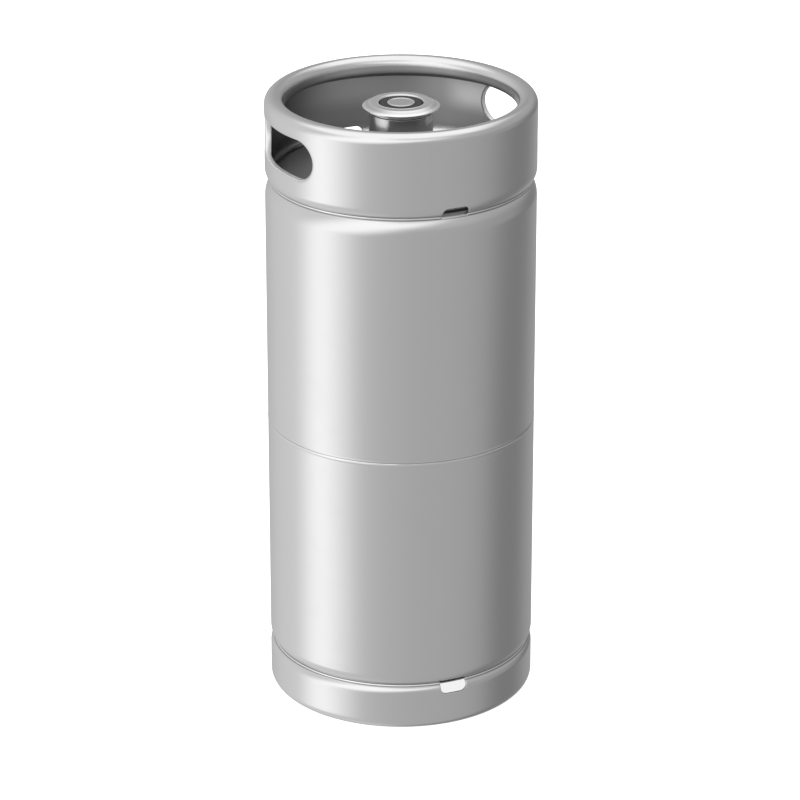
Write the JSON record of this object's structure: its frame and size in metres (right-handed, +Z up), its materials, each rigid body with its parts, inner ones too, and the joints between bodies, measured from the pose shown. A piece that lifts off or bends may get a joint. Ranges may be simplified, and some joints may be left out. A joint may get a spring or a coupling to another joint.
{
  "type": "beer keg",
  "caption": "Slim stainless steel beer keg with rolled carrying ring and hand holes, foot ring, girth seam and a flat-top sprung valve with spear.",
  "frame": {"origin": "centre of the foot ring, on the floor", "axes": "+Z up along the keg's axis; hand holes face +X and -X; drain notches face +Y and -Y"},
  "size_m": [0.2374, 0.2374, 0.5552],
  "materials": {
    "shell_steel": "satin drawn stainless steel",
    "chime_steel": "satin stainless steel, brighter on the rolled rim",
    "weld_steel": "rippled weld bead, brushed clean",
    "neck_steel": "turned stainless steel",
    "valve_steel": "turned stainless steel",
    "inner_steel": "plain stainless steel",
    "spring_steel": "bright spring wire",
    "rubber": "black rubber",
    "white_plastic": "plain white plastic"
  },
  "bodies": {
    "keg": {"upper_shell": "shell_steel", "lower_shell": "shell_steel", "girth_weld": "weld_steel", "top_chime": "chime_steel", "bottom_chime": "chime_steel", "top_chime_weld": "weld_steel", "bottom_chime_weld": "weld_steel", "neck": "neck_steel", "neck_weld": "weld_steel", "neck_seal": "rubber", "fitting_body": "valve_steel", "centre_disc": "valve_steel", "cross_pin": "valve_steel", "spring_cage": "inner_steel", "cage_ring": "spring_steel", "guide_bush": "white_plastic", "valve_spring": "spring_steel"},
    "valve": {"main_seal": "rubber", "seal_core": "inner_steel", "seal_carrier": "inner_steel", "spring_seat": "inner_steel", "spear_tube": "inner_steel"}
  },
  "joints": [
    {"name": "valve_plunge", "type": "slide", "parent": "keg", "child": "valve", "axis": [0, 0, -1], "range_m": [0, 0.0065], "stiffness_N_per_m": 3000, "springref_m": -0.006, "deforming": ["valve_spring"]}
  ]
}
